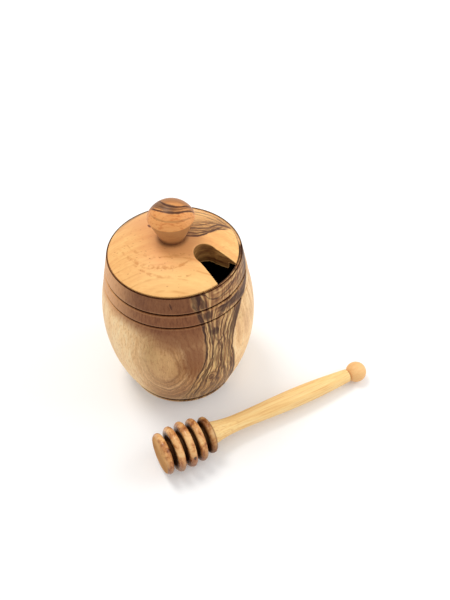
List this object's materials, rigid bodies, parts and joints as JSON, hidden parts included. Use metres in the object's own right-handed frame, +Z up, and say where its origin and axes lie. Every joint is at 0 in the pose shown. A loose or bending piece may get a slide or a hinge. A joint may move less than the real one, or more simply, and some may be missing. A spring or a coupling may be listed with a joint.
{
  "type": "honey pot with lid and dipper",
  "caption": "Turned wooden honey pot: a grooved barrel, a drop-in lid with a dipper slot and a mushroom knob, and a ringed honey dipper lying beside it.",
  "frame": {"origin": "centre of the pot's foot, on the table", "axes": "+Z up along the pot's turning axis, -Y towards the viewer of the picture, +X to that viewer's right"},
  "size_m": [0.1586, 0.1308, 0.1274],
  "materials": {
    "pot_wood": "oiled olive wood with dark wavy heartwood and pale sapwood, satin",
    "lid_wood": "oiled olive wood, warm honey colour with a band of dark streaks, satin",
    "knob_wood": "oiled olive wood with a few dark curved streaks, satin",
    "head_wood": "oiled dark mottled wood, glossy",
    "handle_wood": "oiled pale straight-grained wood, satin"
  },
  "bodies": {
    "pot": {"pot": "pot_wood"},
    "lid": {"lid": "lid_wood", "knob": "knob_wood"},
    "dipper": {"dipper_head": "head_wood", "dipper_handle": "handle_wood"}
  },
  "joints": [
    {"name": "lid_lift", "type": "slide", "parent": "pot", "child": "lid", "axis": [0, 0, 1], "range_m": [0, 0.06]},
    {"name": "dipper_lift", "type": "slide", "parent": "pot", "child": "dipper", "axis": [0, 0, 1], "range_m": [0, 0.15]}
  ]
}
